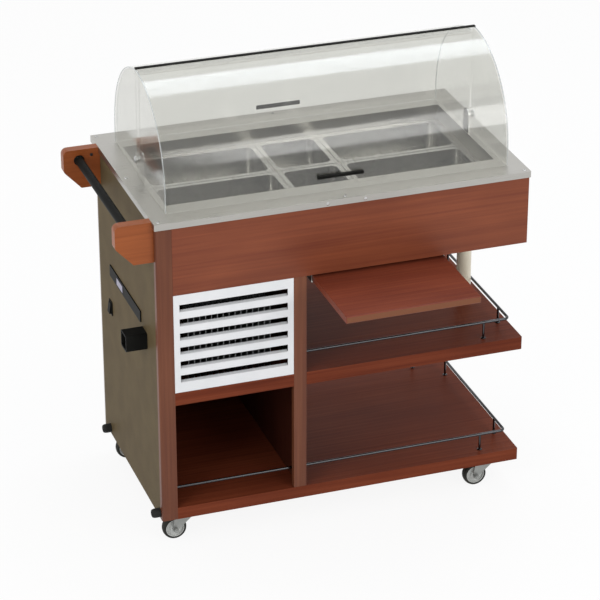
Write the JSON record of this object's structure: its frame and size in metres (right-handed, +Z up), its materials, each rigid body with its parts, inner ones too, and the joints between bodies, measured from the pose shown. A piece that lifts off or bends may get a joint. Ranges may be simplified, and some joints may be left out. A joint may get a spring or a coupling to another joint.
{
  "type": "refrigerated buffet trolley",
  "caption": "Wooden serving trolley with a refrigerated well under a clear roll-top dome, open shelves with rails, a pull-out plate shelf and swivel castors.",
  "frame": {"origin": "on the floor, in the middle of the whole trolley with its handle and its drawn-out plate shelf", "axes": "+Z up, +X along the length away from the push handle, -Y the front that the plate shelf is drawn out of"},
  "size_m": [1.051, 0.792, 1.175],
  "materials": {
    "mahogany": "satin lacquered reddish veneer",
    "bracket_wood": "satin lacquered solid wood",
    "end_laminate": "satin decorative laminate",
    "pale_edge": "satin edge strip",
    "stainless": "brushed",
    "clear_acrylic": "clear polished acrylic",
    "black_plastic": "satin moulded",
    "display": "gloss window",
    "white_enamel": "satin enamel",
    "black_enamel": "satin enamel",
    "fin_aluminium": "mill",
    "copper": "drawn tube",
    "grey_plastic": "moulded",
    "foam": "rigid foam",
    "chrome": "bright plated",
    "cream_column": "gloss enamel",
    "black_rubber": "moulded",
    "castor_grey": "satin",
    "tyre": "moulded"
  },
  "bodies": {
    "cabinet": {"base_shelf": "mahogany", "bay_rail": "chrome", "bumpers": "black_rubber", "castor_plates": "castor_grey", "compressor": "black_enamel", "condenser": "fin_aluminium", "control_strip": "black_plastic", "display_window": "display", "divider_panel": "mahogany", "divider_stile": "mahogany", "dome_pivots": "stainless", "drain_spigot": "grey_plastic", "evaporator_coil": "copper", "fan_housing": "black_enamel", "fascia_front": "mahogany", "fascia_rear": "mahogany", "fascia_right": "mahogany", "handle_bar": "black_plastic", "handle_brackets": "bracket_wood", "large_pans": "stainless", "left_panel": "end_laminate", "left_stile": "mahogany", "lower_rail": "chrome", "machine_floor": "mahogany", "mains_inlet": "black_plastic", "mid_rail": "chrome", "mid_shelf": "mahogany", "pan_support": "stainless", "rear_edge_trim": "pale_edge", "rear_panel": "end_laminate", "screws": "stainless", "shelf_runners": "stainless", "small_pans": "stainless", "support_column": "cream_column", "switch_bezel": "black_plastic", "top_frame": "stainless", "vent_grille": "white_enamel", "well_deck": "end_laminate", "well_insulation": "foam", "well_tub": "stainless"},
    "dome_front": {"dome_front": "clear_acrylic", "dome_front_grip": "black_plastic", "dome_edge_seal": "black_plastic"},
    "dome_rear": {"dome_rear": "clear_acrylic", "dome_rear_grip": "black_plastic"},
    "plate_shelf": {"plate_shelf": "mahogany"},
    "switch_rocker": {"switch_rocker": "black_plastic"},
    "fan": {"fan_blades": "black_plastic"},
    "fork_fl": {"fork_fl": "castor_grey"},
    "wheel_fl": {"tyre_fl": "tyre", "hub_fl": "castor_grey"},
    "fork_fr": {"fork_fr": "castor_grey"},
    "wheel_fr": {"tyre_fr": "tyre", "hub_fr": "castor_grey"},
    "fork_rl": {"fork_rl": "castor_grey"},
    "wheel_rl": {"tyre_rl": "tyre", "hub_rl": "castor_grey"},
    "fork_rr": {"fork_rr": "castor_grey"},
    "wheel_rr": {"tyre_rr": "tyre", "hub_rr": "castor_grey"}
  },
  "joints": [
    {"name": "dome_front_hinge", "type": "hinge", "parent": "cabinet", "child": "dome_front", "pos_m": [0.0455, 0.111, 0.936], "axis": [-1, 0, 0], "range_deg": [0, 85]},
    {"name": "dome_rear_hinge", "type": "hinge", "parent": "cabinet", "child": "dome_rear", "pos_m": [0.0455, 0.111, 0.936], "axis": [1, 0, 0], "range_deg": [0, 82]},
    {"name": "plate_shelf_slide", "type": "slide", "parent": "cabinet", "child": "plate_shelf", "axis": [0, 1, 0], "range_m": [0, 0.222]},
    {"name": "switch_rock", "type": "hinge", "parent": "cabinet", "child": "switch_rocker", "pos_m": [-0.4315, 0.256, 0.472], "axis": [0, -1, 0], "range_deg": [0, 16]},
    {"name": "fan_spin", "type": "hinge", "parent": "cabinet", "child": "fan", "pos_m": [-0.2395, -0.073, 0.529], "axis": [0, 1, 0], "continuous": true},
    {"name": "swivel_fl", "type": "hinge", "parent": "cabinet", "child": "fork_fl", "pos_m": [-0.3685, -0.122, 0.0735], "axis": [0, 0, 1], "continuous": true},
    {"name": "roll_fl", "type": "hinge", "parent": "fork_fl", "child": "wheel_fl", "pos_m": [-0.3885, -0.122, 0.031], "axis": [0, 1, 0], "continuous": true},
    {"name": "swivel_fr", "type": "hinge", "parent": "cabinet", "child": "fork_fr", "pos_m": [0.4415, -0.122, 0.0735], "axis": [0, 0, 1], "continuous": true},
    {"name": "roll_fr", "type": "hinge", "parent": "fork_fr", "child": "wheel_fr", "pos_m": [0.4215, -0.122, 0.031], "axis": [0, 1, 0], "continuous": true},
    {"name": "swivel_rl", "type": "hinge", "parent": "cabinet", "child": "fork_rl", "pos_m": [-0.3685, 0.306, 0.0735], "axis": [0, 0, 1], "continuous": true},
    {"name": "roll_rl", "type": "hinge", "parent": "fork_rl", "child": "wheel_rl", "pos_m": [-0.3885, 0.306, 0.031], "axis": [0, 1, 0], "continuous": true},
    {"name": "swivel_rr", "type": "hinge", "parent": "cabinet", "child": "fork_rr", "pos_m": [0.4415, 0.306, 0.0735], "axis": [0, 0, 1], "continuous": true},
    {"name": "roll_rr", "type": "hinge", "parent": "fork_rr", "child": "wheel_rr", "pos_m": [0.4215, 0.306, 0.031], "axis": [0, 1, 0], "continuous": true}
  ]
}
